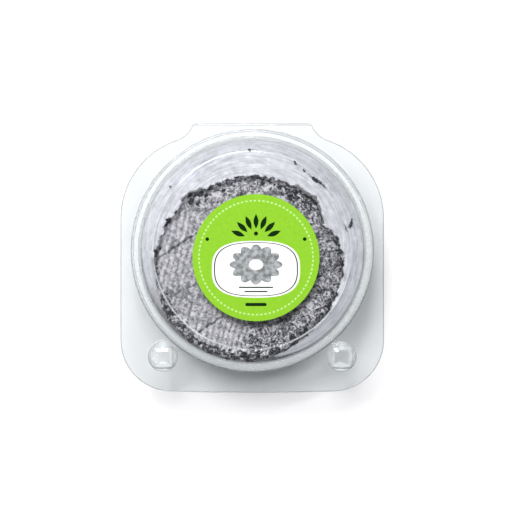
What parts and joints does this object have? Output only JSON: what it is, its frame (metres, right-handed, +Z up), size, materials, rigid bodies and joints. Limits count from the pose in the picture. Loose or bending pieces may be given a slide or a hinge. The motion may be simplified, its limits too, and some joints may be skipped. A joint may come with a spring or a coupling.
{
  "type": "ash-coated goat cheese in a clear hinged pack",
  "caption": "Round ash-coated goat cheese with a ridged grey rind, in a clear plastic clamshell with a hinged lid, press studs and a round green paper label.",
  "frame": {"origin": "centre of the tub's flat foot, on the surface that the pack stands on", "axes": "+Z up, out of the lid; +Y towards the living hinge; +X to the right when the hinge is at the back"},
  "size_m": [0.115, 0.1171, 0.0333],
  "materials": {
    "clear_sheet": "gloss",
    "ash_rind": "matte",
    "green_paper": "satin"
  },
  "bodies": {
    "base": {"tub": "clear_sheet", "cheese": "ash_rind"},
    "cover": {"lid": "clear_sheet", "label": "green_paper"}
  },
  "joints": [
    {"name": "lid_hinge", "type": "hinge", "parent": "base", "child": "cover", "pos_m": [0, 0.05505, 0.02515], "axis": [-1, 0, 0], "range_deg": [0, 180]}
  ]
}
